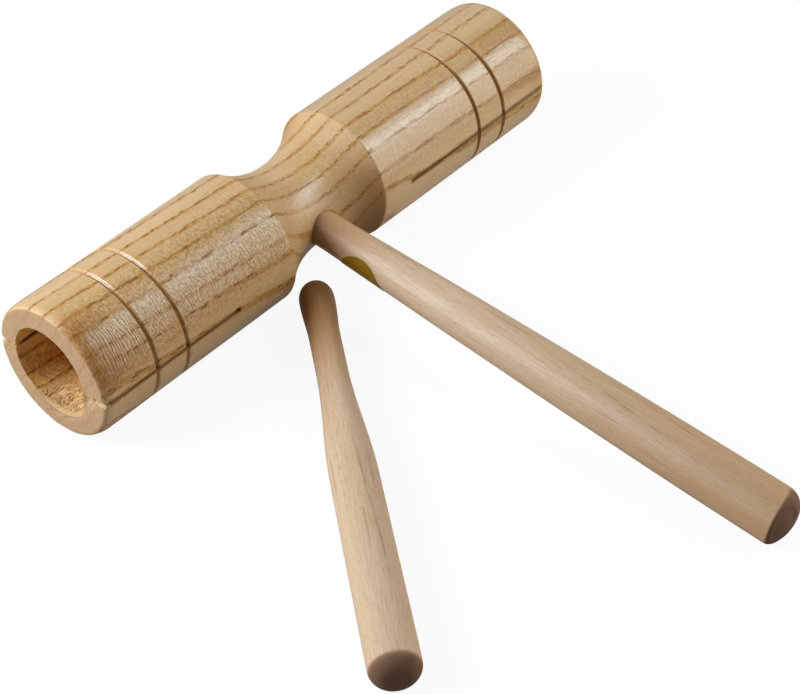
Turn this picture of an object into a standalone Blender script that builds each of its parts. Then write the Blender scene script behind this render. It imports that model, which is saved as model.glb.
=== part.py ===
"""Two-tone wood block: a waisted block with two tuned chambers, its glued-in handle and its loose beater.

Run with blender --background --python part.py, or from the text editor. Metres, +Z up. The set lies as it
is put down: the block along X, the handle towards -Y with its butt on the floor, and the beater beside it.
The origin is on the floor, under the middle of the whole set.
"""
import math

import bmesh
import bpy

MM = 0.001

# Block, turned from one piece of ash
BLOCK_LENGTH = 201 * MM
BLOCK_DIAMETER = 45 * MM
NEAR_CHAMBER_LENGTH = 79.2 * MM
FAR_CHAMBER_LENGTH = 80.2 * MM
WAIST_DIAMETER = 30 * MM
END_ROUND = 1.2 * MM
SHOULDER_ROUND = 2 * MM

# Decorative grooves: distance of each from its own end of the block
NEAR_GROOVES = (20.7 * MM, 33.1 * MM)
FAR_GROOVES = (21.7 * MM, 34.1 * MM)
GROOVE_WIDTH = 1.5 * MM
GROOVE_FLOOR = 0.5 * MM
GROOVE_DEPTH = 1.0 * MM

# Chambers: a blind bore from each end; the near one was drilled a little off centre, away from the handle
BORE_DIAMETER = 28.4 * MM
NEAR_BORE_DEPTH = 58 * MM
FAR_BORE_DEPTH = 71 * MM
NEAR_BORE_OFFSET = 1.6 * MM

# Saw kerfs: one cut through both side walls at each end, a little above the axis and nearly level
KERF_WIDTH = 1.3 * MM
NEAR_KERF_LENGTH = 55.1 * MM
FAR_KERF_LENGTH = 67.6 * MM
NEAR_KERF_RISE = 0.8 * MM
FAR_KERF_RISE = 1.5 * MM
KERF_TILT = math.radians(1.5)

# Handle: a straight root in a blind mortise, then a swell to the butt
HANDLE_OUT = 175.2 * MM
HANDLE_ROOT_DIAMETER = 11.6 * MM
HANDLE_BUTT_DIAMETER = 17.3 * MM
HANDLE_STRAIGHT = 5 * MM
HANDLE_BUTT_ROUND = 6 * MM
TENON_DEPTH = 12 * MM
GLUE_GAP = 0.3 * MM

# Beater: stations are distances from the tip of its head
BEATER_LENGTH = 160 * MM
HEAD_DIAMETER = 11.2 * MM
HEAD_DOME = 8 * MM
HEAD_END = 8.5 * MM
NECK_DIAMETER = 9.8 * MM
NECK_START = 25 * MM
NECK_END = 40 * MM
GRIP_DIAMETER = 14.5 * MM
GRIP_START = 87 * MM
BEATER_BUTT_DIAMETER = 15.1 * MM
BEATER_BUTT_ROUND = 5.1 * MM

# Where the beater lies: its tip from the handle's axis and from the block's axis, and which way it points
BEATER_TIP_SIDE = 10.1 * MM
BEATER_TIP_OUT = 19.1 * MM
BEATER_HEADING = math.radians(-129.47)

# Facets round the block, the sticks and the bores, and along the curved stretches of a profile
BLOCK_FACETS = 64
STICK_FACETS = 36
BORE_FACETS = 48
ROUND_STEPS = 4
SHOULDER_STEPS = 2
COVE_STEPS = 14
SWELL_STEPS = 9
DOME_STEPS = 6
MERGE_DISTANCE = 0.01 * MM
CUT_MARGIN = 2 * MM
SHARP_ANGLE = math.radians(30)

# Finishes: base colour and roughness
ASH = ((0.58, 0.38, 0.18), 0.4)
BIRCH = ((0.62, 0.42, 0.26), 0.5)


def empty_scene():
    for leftover in list(bpy.data.objects):
        bpy.data.objects.remove(leftover, do_unlink=True)


def new_collection(name):
    collection = bpy.data.collections.new(name)
    bpy.context.scene.collection.children.link(collection)
    return collection


def wood(name, finish):
    color, roughness = finish
    material = bpy.data.materials.new(name)
    material.use_nodes = True
    shader = material.node_tree.nodes["Principled BSDF"]
    shader.inputs["Base Color"].default_value = (*color, 1.0)
    shader.inputs["Roughness"].default_value = roughness
    shader.inputs["Metallic"].default_value = 0.0
    return material


def shares(steps):
    """Even shares from 0 to 1, both ends included."""
    return [step / steps for step in range(steps + 1)]


def arc(centre, radii, start, end, steps):
    """Profile points (radius, height) round a centre; 0 degrees points away from the axis and 90 up."""
    angles = [math.radians(start + (end - start) * share) for share in shares(steps)]
    return [(centre[0] + radii[0] * math.cos(a), centre[1] + radii[1] * math.sin(a)) for a in angles]


def ease(start, end, steps):
    """Profile points along a smooth S-shaped swell between two (radius, height) points."""
    rise = [(share, (1 - math.cos(math.pi * share)) / 2) for share in shares(steps)]
    return [(start[0] + (end[0] - start[0]) * swell, start[1] + (end[1] - start[1]) * share)
            for share, swell in rise]


def groove(radius, height):
    """A shallow turned groove with sloping walls, centred on a height of the profile."""
    floor = radius - GROOVE_DEPTH
    return [(radius, height + GROOVE_WIDTH / 2), (floor, height + GROOVE_FLOOR / 2),
            (floor, height - GROOVE_FLOOR / 2), (radius, height - GROOVE_WIDTH / 2)]


def cove(radius, top, bottom):
    """The waist: one circular hollow down to the waist's diameter, with a rounded shoulder each side."""
    half, middle = (top - bottom) / 2, (top + bottom) / 2
    depth = radius - WAIST_DIAMETER / 2
    sweep = (half ** 2 + depth ** 2) / (2 * depth)
    hollow = WAIST_DIAMETER / 2 + sweep
    shoulder = radius - SHOULDER_ROUND
    rise = math.sqrt((sweep + SHOULDER_ROUND) ** 2 - (hollow - shoulder) ** 2)
    turn = math.degrees(math.atan2(rise, hollow - shoulder))
    fillet = (SHOULDER_ROUND, SHOULDER_ROUND)
    return (arc((shoulder, middle + rise), fillet, 0, -turn, SHOULDER_STEPS)
            + arc((hollow, middle), (sweep, sweep), 180 - turn, 180 + turn, COVE_STEPS)[1:-1]
            + arc((shoulder, middle - rise), fillet, turn, 0, SHOULDER_STEPS))


def block_profile():
    """Half outline of the block, from the far end (top) down to the near end."""
    radius, half = BLOCK_DIAMETER / 2, BLOCK_LENGTH / 2
    edge = radius - END_ROUND
    points = [(0, half)] + arc((edge, half - END_ROUND), (END_ROUND, END_ROUND), 90, 0, ROUND_STEPS)
    for distance in FAR_GROOVES:
        points += groove(radius, half - distance)
    points += cove(radius, half - FAR_CHAMBER_LENGTH, NEAR_CHAMBER_LENGTH - half)
    for distance in reversed(NEAR_GROOVES):
        points += groove(radius, distance - half)
    points += arc((edge, END_ROUND - half), (END_ROUND, END_ROUND), 0, -90, ROUND_STEPS) + [(0, -half)]
    return points


def butt(radius, rounding, end):
    """A flat turned end with a rounded edge, from the axis at its top to full radius."""
    centre = (radius - rounding, end - rounding)
    return [(0, end)] + arc(centre, (rounding, rounding), 90, 0, ROUND_STEPS)


def handle_profile():
    """Half outline of the handle from its butt (top) down to its foot; height 0 is the block's axis."""
    waist = WAIST_DIAMETER / 2
    root, full = HANDLE_ROOT_DIAMETER / 2, HANDLE_BUTT_DIAMETER / 2
    start, end = waist + HANDLE_STRAIGHT, waist + HANDLE_OUT - HANDLE_BUTT_ROUND
    swell = [(root + (full - root) * math.sin(share * math.pi / 2), start + (end - start) * share)
             for share in reversed(shares(SWELL_STEPS)[:-1])]
    foot = waist - TENON_DEPTH
    return butt(full, HANDLE_BUTT_ROUND, waist + HANDLE_OUT) + swell + [(root, foot), (0, foot)]


def beater_profile():
    """Half outline of the beater from its butt (top) down to the tip of its head, at height 0."""
    head, neck, grip = HEAD_DIAMETER / 2, NECK_DIAMETER / 2, GRIP_DIAMETER / 2
    points = butt(BEATER_BUTT_DIAMETER / 2, BEATER_BUTT_ROUND, BEATER_LENGTH)
    points += ease((grip, GRIP_START), (neck, NECK_END), SWELL_STEPS)
    points += ease((neck, NECK_START), (head, HEAD_END), DOME_STEPS)
    return points + arc((0, HEAD_DOME), (head, HEAD_DOME), 0, -90, DOME_STEPS)[:-1] + [(0, 0)]


def turned(name, profile, facets, collection, parent):
    """A piece turned about its own Z axis from a profile that runs down its outer side."""
    mesh = bpy.data.meshes.new(name)
    mesh.from_pydata([(radius, 0, height) for radius, height in profile],
                     [(i, i + 1) for i in range(len(profile) - 1)], [])
    piece = bpy.data.objects.new(name, mesh)
    collection.objects.link(piece)
    piece.parent = parent
    screw = piece.modifiers.new("turn", "SCREW")
    screw.steps = facets
    screw.render_steps = facets
    screw.use_merge_vertices = True
    screw.merge_threshold = MERGE_DISTANCE
    return piece


def cutter(name, shape, collection, parent):
    """A guide object that cuts, and is not a piece itself; shape fills its mesh."""
    mesh = bpy.data.meshes.new(name)
    solid = bmesh.new()
    shape(solid)
    solid.to_mesh(mesh)
    solid.free()
    tool = bpy.data.objects.new(name, mesh)
    collection.objects.link(tool)
    tool.parent = parent
    tool.hide_render = True
    tool.display_type = "WIRE"
    return tool


def drill(name, diameter, length, facets, collection, parent):
    """A round cutter about its own Z axis, centred on its origin."""
    return cutter(name, lambda solid: bmesh.ops.create_cone(
        solid, cap_ends=True, segments=facets, radius1=diameter / 2, radius2=diameter / 2, depth=length),
        collection, parent)


def saw(name, length, collection, parent):
    """A slab cutter as thick as the kerf, wider than the block and centred on its origin."""
    def slab(solid):
        made = bmesh.ops.create_cube(solid, size=1)
        bmesh.ops.scale(solid, vec=(length, BLOCK_DIAMETER + 2 * CUT_MARGIN, KERF_WIDTH), verts=made["verts"])
    return cutter(name, slab, collection, parent)


def cut(piece, tool):
    boolean = piece.modifiers.new(tool.name, "BOOLEAN")
    boolean.object = tool
    boolean.operation = "DIFFERENCE"
    boolean.solver = "EXACT"


def settle(piece, material):
    """Apply the piece's modifiers, and shade it smooth with its corners kept sharp."""
    bpy.context.view_layer.update()
    evaluated = piece.evaluated_get(bpy.context.evaluated_depsgraph_get())
    mesh = bpy.data.meshes.new_from_object(evaluated)
    piece.modifiers.clear()
    piece.data = mesh
    mesh.shade_smooth()
    mesh.set_sharp_from_angle(angle=SHARP_ANGLE)
    mesh.materials.clear()
    mesh.materials.append(material)


def handle_middle():
    """Where the handle meets the block: half-way along the waist."""
    return (NEAR_CHAMBER_LENGTH - FAR_CHAMBER_LENGTH) / 2


def handle_droop():
    """How far the handle tips down from level before its full-width butt touches the floor."""
    reach = WAIST_DIAMETER / 2 + HANDLE_OUT - HANDLE_BUTT_ROUND
    radius = HANDLE_BUTT_DIAMETER / 2
    return math.asin(BLOCK_DIAMETER / 2 / math.hypot(reach, radius)) - math.atan2(radius, reach)


def make_block(parts, cutters, set_root):
    axis_height, half = BLOCK_DIAMETER / 2, BLOCK_LENGTH / 2
    block = turned("tone_block", block_profile(), BLOCK_FACETS, parts, set_root)
    block.location = (0, 0, axis_height)
    block.rotation_euler = (0, math.pi / 2, 0)

    ends = (("near", -1, NEAR_BORE_DEPTH, NEAR_BORE_OFFSET, NEAR_KERF_LENGTH, NEAR_KERF_RISE),
            ("far", 1, FAR_BORE_DEPTH, 0, FAR_KERF_LENGTH, FAR_KERF_RISE))
    for end, side, bore_depth, bore_offset, kerf_length, kerf_rise in ends:
        bore = drill(end + "_bore", BORE_DIAMETER, bore_depth + CUT_MARGIN, BORE_FACETS, cutters, set_root)
        bore.location = (side * (half - (bore_depth - CUT_MARGIN) / 2), bore_offset, axis_height)
        bore.rotation_euler = (0, math.pi / 2, 0)
        cut(block, bore)
        kerf = saw(end + "_kerf", kerf_length + CUT_MARGIN, cutters, set_root)
        kerf.location = (side * (half - (kerf_length - CUT_MARGIN) / 2), 0, axis_height + kerf_rise)
        kerf.rotation_euler = (KERF_TILT, 0, 0)
        cut(block, kerf)

    mortise_length = TENON_DEPTH + GLUE_GAP + CUT_MARGIN
    mortise_diameter = HANDLE_ROOT_DIAMETER + 2 * GLUE_GAP
    mortise = drill("mortise", mortise_diameter, mortise_length, STICK_FACETS, cutters, set_root)
    along = WAIST_DIAMETER / 2 + CUT_MARGIN - mortise_length / 2
    droop = handle_droop()
    mortise.location = (handle_middle(), -along * math.cos(droop), axis_height - along * math.sin(droop))
    mortise.rotation_euler = (math.pi / 2 + droop, 0, 0)
    cut(block, mortise)
    settle(block, wood("ash", ASH))
    return block


def make_handle(parts, set_root):
    handle = turned("handle", handle_profile(), STICK_FACETS, parts, set_root)
    handle.location = (handle_middle(), 0, BLOCK_DIAMETER / 2)
    handle.rotation_euler = (math.pi / 2 + handle_droop(), 0, 0)
    settle(handle, wood("birch_handle", BIRCH))
    return handle


def make_beater(parts, set_root):
    """The beater lies on its grip, so its tilt comes from the grip's two ends, and its head hangs clear."""
    beater = turned("beater", beater_profile(), STICK_FACETS, parts, set_root)
    grip, full = GRIP_DIAMETER / 2, BEATER_BUTT_DIAMETER / 2
    tilt = math.atan2(full - grip, BEATER_LENGTH - BEATER_BUTT_ROUND - GRIP_START)
    tip_height = grip * math.cos(tilt) - GRIP_START * math.sin(tilt)
    beater.location = (handle_middle() - BEATER_TIP_SIDE, -BEATER_TIP_OUT, tip_height)
    beater.rotation_euler = (0, math.pi / 2 - tilt, BEATER_HEADING)
    settle(beater, wood("birch_beater", BIRCH))
    return beater


def centre_on_floor(set_root, pieces):
    """Move the whole set so that the origin is on the floor under its middle."""
    bpy.context.view_layer.update()
    corners = [piece.matrix_world @ vertex.co for piece in pieces for vertex in piece.data.vertices]
    low = [min(corner[i] for corner in corners) for i in range(3)]
    high = [max(corner[i] for corner in corners) for i in range(3)]
    set_root.location = (-(low[0] + high[0]) / 2, -(low[1] + high[1]) / 2, -low[2])


def main():
    empty_scene()
    parts = new_collection("two_tone_wood_block")
    cutters = new_collection("cutters")
    set_root = bpy.data.objects.new("set_root", None)
    parts.objects.link(set_root)
    block = make_block(parts, cutters, set_root)
    handle = make_handle(parts, set_root)
    beater = make_beater(parts, set_root)
    centre_on_floor(set_root, (block, handle, beater))


main()
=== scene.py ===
"""Looks of a two-tone wood block: an ash block with two chambers, a birch handle and a loose birch beater.

Every shape is worked out in millimetres in its own frame, as a function on a grid, and carried to its place
in metres. Angles round the block start on the handle's side (-Y) and rise over the top (+Z).
"""
import math
from collections import namedtuple

import bmesh
import bpy
import numpy as np
from mathutils import Matrix, Vector


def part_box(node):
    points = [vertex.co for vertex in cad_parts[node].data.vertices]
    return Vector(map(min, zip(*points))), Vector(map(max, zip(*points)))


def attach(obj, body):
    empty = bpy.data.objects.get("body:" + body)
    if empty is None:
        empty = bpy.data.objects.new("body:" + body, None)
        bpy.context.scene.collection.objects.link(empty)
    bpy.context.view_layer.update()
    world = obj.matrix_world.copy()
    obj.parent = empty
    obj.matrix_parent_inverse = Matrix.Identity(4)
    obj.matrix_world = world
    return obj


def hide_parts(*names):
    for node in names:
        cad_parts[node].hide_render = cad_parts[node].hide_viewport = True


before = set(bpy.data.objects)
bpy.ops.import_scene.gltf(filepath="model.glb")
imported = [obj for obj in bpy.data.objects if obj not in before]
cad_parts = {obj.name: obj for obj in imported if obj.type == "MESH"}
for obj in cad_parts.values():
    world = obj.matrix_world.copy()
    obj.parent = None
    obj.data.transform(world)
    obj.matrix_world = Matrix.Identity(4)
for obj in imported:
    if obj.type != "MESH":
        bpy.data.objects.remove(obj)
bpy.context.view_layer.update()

MM = 0.001

# Block: its length and diameter come from the frame, and shoulders and grooves are placed from its ends
block_low, block_high = (np.array(corner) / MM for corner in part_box("tone_block"))
BLOCK_MIDDLE = (block_low + block_high) / 2
HALF_LENGTH = (block_high[0] - block_low[0]) / 2
RADIUS = (block_high[2] - block_low[2]) / 2
NEAR_SHOULDER = 79.2 - HALF_LENGTH
FAR_SHOULDER = HALF_LENGTH - 80.2
WAIST_RADIUS = 15
SHOULDER_EASE = 0.35
END_WEAR = 4.0
END_DROP = 0.75
END_BREAK = 0.5
END_BREAK_POWER = 16
END_LEAN = 0.45
END_LEAN_ANGLE = math.radians(15)
GROOVES = (20.7 - HALF_LENGTH, 33.1 - HALF_LENGTH, HALF_LENGTH - 34.1, HALF_LENGTH - 21.7)
GROOVE_HALF_WIDTH = 0.95
GROOVE_DEPTH = 0.85
GROOVE_LIP = 0.35
SHOULDER_BEND = 2.2

# Chambers: a bore and a saw kerf from each end; a kerf's half width changes by (place, reach, change)
Chamber = namedtuple("Chamber", "side bore_depth bore_offset kerf_length kerf_rise")
NEAR = Chamber(side=-1, bore_depth=58, bore_offset=1.6, kerf_length=55.1, kerf_rise=0.8)
FAR = Chamber(side=1, bore_depth=71, bore_offset=0, kerf_length=67.6, kerf_rise=1.5)
KERF_ENDS = (NEAR.kerf_length - HALF_LENGTH, HALF_LENGTH - FAR.kerf_length)
BORE_RADIUS = 14.2
BORE_BOTTOM = (0.985, 0.8, 0.5, 0.2, 0)
MOUTH_ROUND = 0.25
MOUTH_BREAK_REACH = 3.2
MOUTH_BREAK_DEPTH = 0.8
KERF_WIDTH = 0.75
KERF_RAGGED = 0.09
KERF_RAGGED_CELL = 2.3
KERF_STOPS = ((-46.4, 1.3, 0.45), (32.9, 20, 0.35))
KERF_CLOSING = (95, 42, -0.2)
KERF_TILT = math.radians(1.5)

# Handle: distances along its axis from the block's axis
HANDLE_MIDDLE = (NEAR_SHOULDER + FAR_SHOULDER) / 2
HANDLE_FOOT = 3
HANDLE_SWELL = 20
HANDLE_END = 190.2
HANDLE_ROOT_RADIUS = 5.8
HANDLE_BUTT_RADIUS = 8.65
HANDLE_BUTT_ROUND = 6
HANDLE_CRISP_ROUND = 1.2
HANDLE_DOME = 1.6
HANDLE_CRISP_ANGLE = math.radians(65)
MORTISE_RADIUS = 5.95
MORTISE_FOOT = 2.7

# Beater: distances along its axis from the tip of its head
BEATER_SIDE = 10.1
BEATER_OUT = 19.1
BEATER_HEADING = math.radians(-129.47)
BEATER_END = 160
HEAD_RADIUS = 5.6
HEAD_TIP = 0.7
HEAD_DOME = 8
HEAD_BLUNT = 2.4
HEAD_END = 8.5
NECK_RADIUS = 4.9
NECK_START = 25
NECK_END = 40
GRIP_RADIUS = 7.25
GRIP_START = 87
BEATER_BUTT_RADIUS = 7.55
BEATER_BUTT_ROUND = 5.1

# Blank label on the handle
LABEL_ALONG = 35.5
LABEL_RADIUS = 8.6
LABEL_ANGLE = math.radians(137)
LABEL_THICKNESS = 0.12

# Marks of the tools: depths of wood taken away, and cells of their noise, along and across the grain
LATHE_WAVE = 0.05
LATHE_CELL = (9, 14, 14)
DRILL_ROUGHNESS = 0.09
DRILL_CELL = (5, 0.9, 0.9)
SANDED_DEPTH = 0.04
SANDED_CELL = (22, 6, 6)
TEAR_DEPTH = 0.15
TEAR_RAGGED = 0.12
TEAR_CELLS = ((1.8, 0.6, 0.6), (0.8, 0.35, 0.35))
CHIP_DEPTH = 1.1
CHIP_DROP = 0.3
CHIP_CELLS = ((1.6, 0.7, 0.7), (0.9, 0.35, 0.35))
BREAK_CELL = (1.2, 0.9, 0.9)

# The near mouth: angles in degrees round its bore, depths from the end face, spots by middle and half size
TORN_ANGLES = (-122, -100, -48, -18)
TORN_DEPTHS = (5, 13)
TORN_MARGIN = 1.5
BREAK_ANGLES = (-128, -95, -40, -10)
BREAK_RAGGED = 0.25
CHIP_SPOTS = ((-14.6, -2.6, 2.6, 2.4), (-19.0, -0.6, 4.5, 1.1), (21.8, 0.9, 1.8, 1.5))
CHIP_REACH = 2.2
CHIP_RAGGED = 0.4

# Limits of the masks for the materials: in millimetres, in how far a face turns, or as shares
TURNED_SKIN = (-0.8, -0.2)
GROOVE_STAIN = (0.2, 0.85)
GROOVE_EDGE = (0.0, 0.25)
GROOVE_FLOOR = 1.3
SLOPE_FACING = (0.15, 0.6)
SLOPE_PAST_SHOULDER = 1
FACE_DEPTH = 0.02
BARE_UNDER_WAIST = 0.6
BARE_UNDER_CHAMBER = 2.5
BARE_PAST_SHOULDER = 2
BUTT_FACING = (0.0, 0.6)
HEAD_FACING = (0.6, 0.98)
SAWN_MARGIN = 0.7
SAWN_START = 1.5
SAWN_PAST = 0.5
LIP_BREAK = (0.0, 0.5)
CHIP_TORN = 0.5

# Fibres torn up by the drill: ranges of the random draws
FIBRE_COUNT = 620
FIBRE_DEPTHS = (0.4, 9.5)
FIBRE_ANGLES = (-118, -30)
FIBRE_LENGTHS = (0.6, 2.2)
FIBRE_GIRTHS = (0.05, 0.11)
FIBRE_LIFTS = (0.05, 0.55)
FIBRE_SWING = 0.5
FIBRE_ROOT = 0.2
FIBRE_CLEAR = 0.15

# Camera, at the photograph's place: from the floor under the block's middle
CAMERA_PLACE = (-387.59, -392.11, 468.47)
CAMERA_AZIMUTH = math.radians(48.1726)
CAMERA_ELEVATION = math.radians(42.6898)
CAMERA_ROLL = math.radians(-1.1745)
CAMERA_LENS = 101.27
CAMERA_SENSOR = 36

# Grid steps
ARC_COLUMNS = 78
GAP_COLUMNS = 4
CROWDING = 0.6
ROUND_ROWS = 12
LAST_ROWS = 5
WALL_STEPS = 14
STICK_COLUMNS = 96
BUTT_ROWS = 14
DOME_ROWS = 9
HANDLE_ROWS = 170
HEAD_ROWS = 16
BEATER_ROWS = 140
LABEL_RINGS = 20
FIBRE_ROWS = 5
FIBRE_SIDES = 4
COARSE, WAIST_STEP, FINE, GROOVE_STEP = 1.1, 0.8, 0.3, 0.14
WELD = 0.002
POLE_RADIUS = 0.001
SHARP_ANGLE = math.radians(38)


# Arithmetic on whole arrays

def smooth_step(start, end, values):
    """0 up to start, 1 from end on, and a cubic ease between them."""
    share = np.clip((values - start) / (end - start), 0, 1)
    return share * share * (3 - 2 * share)


def lattice_noise(points, cell, seed):
    """Smooth noise from -1 to 1: random numbers at the corners of a lattice, eased between corners."""
    table = np.random.default_rng(seed).uniform(-1, 1, 4096)
    scaled = points / np.asarray(cell, float)
    corner = np.floor(scaled).astype(np.int64)
    share = scaled - corner
    share = share * share * (3 - 2 * share)
    total = np.zeros(len(points))
    for step in np.ndindex(2, 2, 2):
        hashed = ((corner + step) * (73856093, 19349663, 83492791)).sum(1)
        weight = np.where(np.array(step) == 1, share, 1 - share).prod(1)
        total += weight * table[hashed % len(table)]
    return total


def ragged_noise(points, coarse, fine, seed):
    """Noise in coarse cells, with weaker noise in fine cells on it."""
    return lattice_noise(points, coarse, seed) + 0.6 * lattice_noise(points, fine, seed + 1)


def stretch(marks):
    """Stations between marks (place, spacing): each spacing holds from its own mark to the next one."""
    runs = []
    for (start, spacing), (end, _) in zip(marks, marks[1:]):
        runs.append(np.linspace(start, end, max(1, round((end - start) / spacing)), endpoint=False))
    return np.concatenate(runs + [[marks[-1][0]]])


# Meshes from grids

def grid_quads(rows, columns, closed=False, keep=None):
    """Corner numbers of a grid's quads, row by row; closed joins the last column to the first."""
    row, column = np.meshgrid(np.arange(rows - 1), np.arange(columns - (not closed)), indexing="ij")
    after = (column + 1) % columns
    quads = np.stack([row * columns + column, row * columns + after,
                      (row + 1) * columns + after, (row + 1) * columns + column], -1)
    return quads[keep] if keep is not None else quads.reshape(-1, 4)


def sewn_mesh(name, patches):
    """One mesh from patches (points, quads): shared edges and poles merged, and the faces turned outward."""
    points, quads, count = [], [], 0
    for patch, corners in patches:
        points.append(patch.reshape(-1, 3))
        quads.append(corners + count)
        count += len(points[-1])
    mesh = bpy.data.meshes.new(name)
    mesh.from_pydata(np.concatenate(points).tolist(), [], np.concatenate(quads).tolist())
    work = bmesh.new()
    work.from_mesh(mesh)
    bmesh.ops.remove_doubles(work, verts=work.verts, dist=WELD)
    bmesh.ops.recalc_face_normals(work, faces=work.faces)
    work.to_mesh(mesh)
    work.free()
    return mesh


def read_mesh(mesh):
    """Points and vertex normals of a mesh as arrays."""
    points = np.empty(len(mesh.vertices) * 3)
    normals = np.empty(len(mesh.vertices) * 3)
    mesh.vertices.foreach_get("co", points)
    mesh.vertices.foreach_get("normal", normals)
    return points.reshape(-1, 3), normals.reshape(-1, 3)


def write_mask(mesh, name, values):
    """One number for each point of a mesh, under a name that a material reads."""
    mesh.attributes.new(name, "FLOAT", "POINT").data.foreach_set("value", values.astype(np.float32))


def finish_piece(mesh, points, material, body, node=None):
    """The piece made of this mesh: points in millimetres, a material, and its body and node."""
    mesh.vertices.foreach_set("co", (points * MM).ravel())
    mesh.update()
    mesh.shade_smooth()
    mesh.set_sharp_from_angle(angle=SHARP_ANGLE)
    mesh.materials.append(material)
    piece = bpy.data.objects.new(mesh.name, mesh)
    bpy.context.scene.collection.objects.link(piece)
    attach(piece, body)
    if node:
        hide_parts(node)
    return piece


# Frames of the sticks: along the axis, sideways and upwards

def stick_frame(axis):
    """Three unit rows: along the stick, level to its side, and up, square to both."""
    along = np.array(axis, float) / np.linalg.norm(axis)
    side = np.cross(along, (0, 0, 1))
    side /= np.linalg.norm(side)
    return np.array([along, side, np.cross(side, along)])


def handle_frame():
    """The handle's start on the block's axis, and its frame: it droops until its butt is on the floor."""
    reach = HANDLE_END - HANDLE_BUTT_ROUND
    slant = math.hypot(reach, HANDLE_BUTT_RADIUS)
    droop = math.asin(RADIUS / slant) - math.atan2(HANDLE_BUTT_RADIUS, reach)
    origin = BLOCK_MIDDLE + (HANDLE_MIDDLE, 0, 0)
    return origin, stick_frame((0, -math.cos(droop), -math.sin(droop)))


def beater_frame():
    """Where the beater's tip is, and its frame: it lies on the two ends of its grip."""
    run = BEATER_END - BEATER_BUTT_ROUND - GRIP_START
    tilt = math.atan2(BEATER_BUTT_RADIUS - GRIP_RADIUS, run)
    height = GRIP_RADIUS * math.cos(tilt) - GRIP_START * math.sin(tilt)
    side = BLOCK_MIDDLE[0] + HANDLE_MIDDLE - BEATER_SIDE
    level = math.cos(tilt)
    axis = (level * math.cos(BEATER_HEADING), level * math.sin(BEATER_HEADING), math.sin(tilt))
    return np.array([side, BLOCK_MIDDLE[1] - BEATER_OUT, height]), stick_frame(axis)


def turned_points(along, radius, origin, axes):
    """Points round a stick's axis: origin + along * axis + radius * (up * cos angle + side * sin angle)."""
    angle = np.linspace(0, 2 * np.pi, STICK_COLUMNS, endpoint=False)
    along, radius = np.broadcast_arrays(along, radius, np.empty((1, STICK_COLUMNS)))[:2]
    return (origin + along[..., None] * axes[0] + (radius * np.sin(angle))[..., None] * axes[1]
            + (radius * np.cos(angle))[..., None] * axes[2])


# Block

def block_radius(x):
    """The turned radius at x: full, less the waist's round hollow, eased at its shoulders, and the grooves.

    A groove is one wave of a cosine.
    """
    middle, half = (NEAR_SHOULDER + FAR_SHOULDER) / 2, (FAR_SHOULDER - NEAR_SHOULDER) / 2
    depth = RADIUS - WAIST_RADIUS
    sweep = (half ** 2 + depth ** 2) / (2 * depth)
    hollow = WAIST_RADIUS + sweep - np.sqrt(np.maximum(sweep ** 2 - (x - middle) ** 2, 0))
    blend = np.maximum(SHOULDER_EASE - np.abs(hollow - RADIUS), 0) / SHOULDER_EASE
    radius = np.minimum(hollow, RADIUS) - blend ** 2 * SHOULDER_EASE / 4
    for groove in GROOVES:
        share = np.clip(np.abs(x - groove) / GROOVE_HALF_WIDTH, 0, 1)
        radius -= GROOVE_DEPTH * (1 + np.cos(np.pi * share)) / 2
    return radius


def block_stations():
    """Places of the block's rings between its two rounded ends, closer at the grooves and the shoulders."""
    edge = HALF_LENGTH - END_WEAR
    lip = GROOVE_HALF_WIDTH + GROOVE_LIP
    marks = [(place, COARSE) for place in (-edge, *KERF_ENDS, edge)]
    for groove in GROOVES:
        marks += [(groove - lip, GROOVE_STEP), (groove + lip, COARSE)]
    for shoulder, after in ((NEAR_SHOULDER, WAIST_STEP), (FAR_SHOULDER, COARSE)):
        marks += [(shoulder - SHOULDER_BEND, FINE), (shoulder + SHOULDER_BEND, after)]
    return stretch(sorted(marks))


def ring_angles(radius, rise, offset, spread):
    """Angles of the columns of rings, over the upper and lower arcs and across the two sides of the kerf.

    A kerf edge is the line at a height of rise plus or minus spread, tilted about the block's axis. The
    columns of an arc stand closer towards the kerf.
    """
    level = rise * math.cos(KERF_TILT) + offset * math.sin(KERF_TILT)
    upper = np.arcsin((level + spread) / radius)
    lower = np.arcsin((level - spread) / radius)
    turns = np.stack([upper, np.pi - upper, np.pi - lower, 2 * np.pi + lower, 2 * np.pi + upper], -1)
    turns -= KERF_TILT
    arc = np.arange(ARC_COLUMNS) / ARC_COLUMNS
    arc -= CROWDING * np.sin(2 * np.pi * arc) / (2 * np.pi)
    gap = np.arange(GAP_COLUMNS) / GAP_COLUMNS
    return np.concatenate([turns[:, i, None] + (turns[:, i + 1] - turns[:, i])[:, None] * share
                           for i, share in enumerate((arc, gap, arc, gap))], 1)


def ring_points(x, radius, rise, offset, seed):
    """Points of rings about the block's axis: (x, offset - radius * cos angle, radius * sin angle).

    The kerfs are ragged, and widen where the saw stopped. The far one closes up towards the block's end.
    """
    along = np.stack([x, np.zeros_like(x), np.zeros_like(x)], -1)
    spread = KERF_WIDTH / 2 + KERF_RAGGED * lattice_noise(along, KERF_RAGGED_CELL, seed)
    for place, reach, flare in (*KERF_STOPS, KERF_CLOSING):
        spread = spread + flare * np.exp(-((x - place) / reach) ** 2)
    angle = ring_angles(radius, rise, offset, spread)
    return np.stack([np.broadcast_to(x[:, None], angle.shape), offset - radius[:, None] * np.cos(angle),
                     radius[:, None] * np.sin(angle)], -1)


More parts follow.
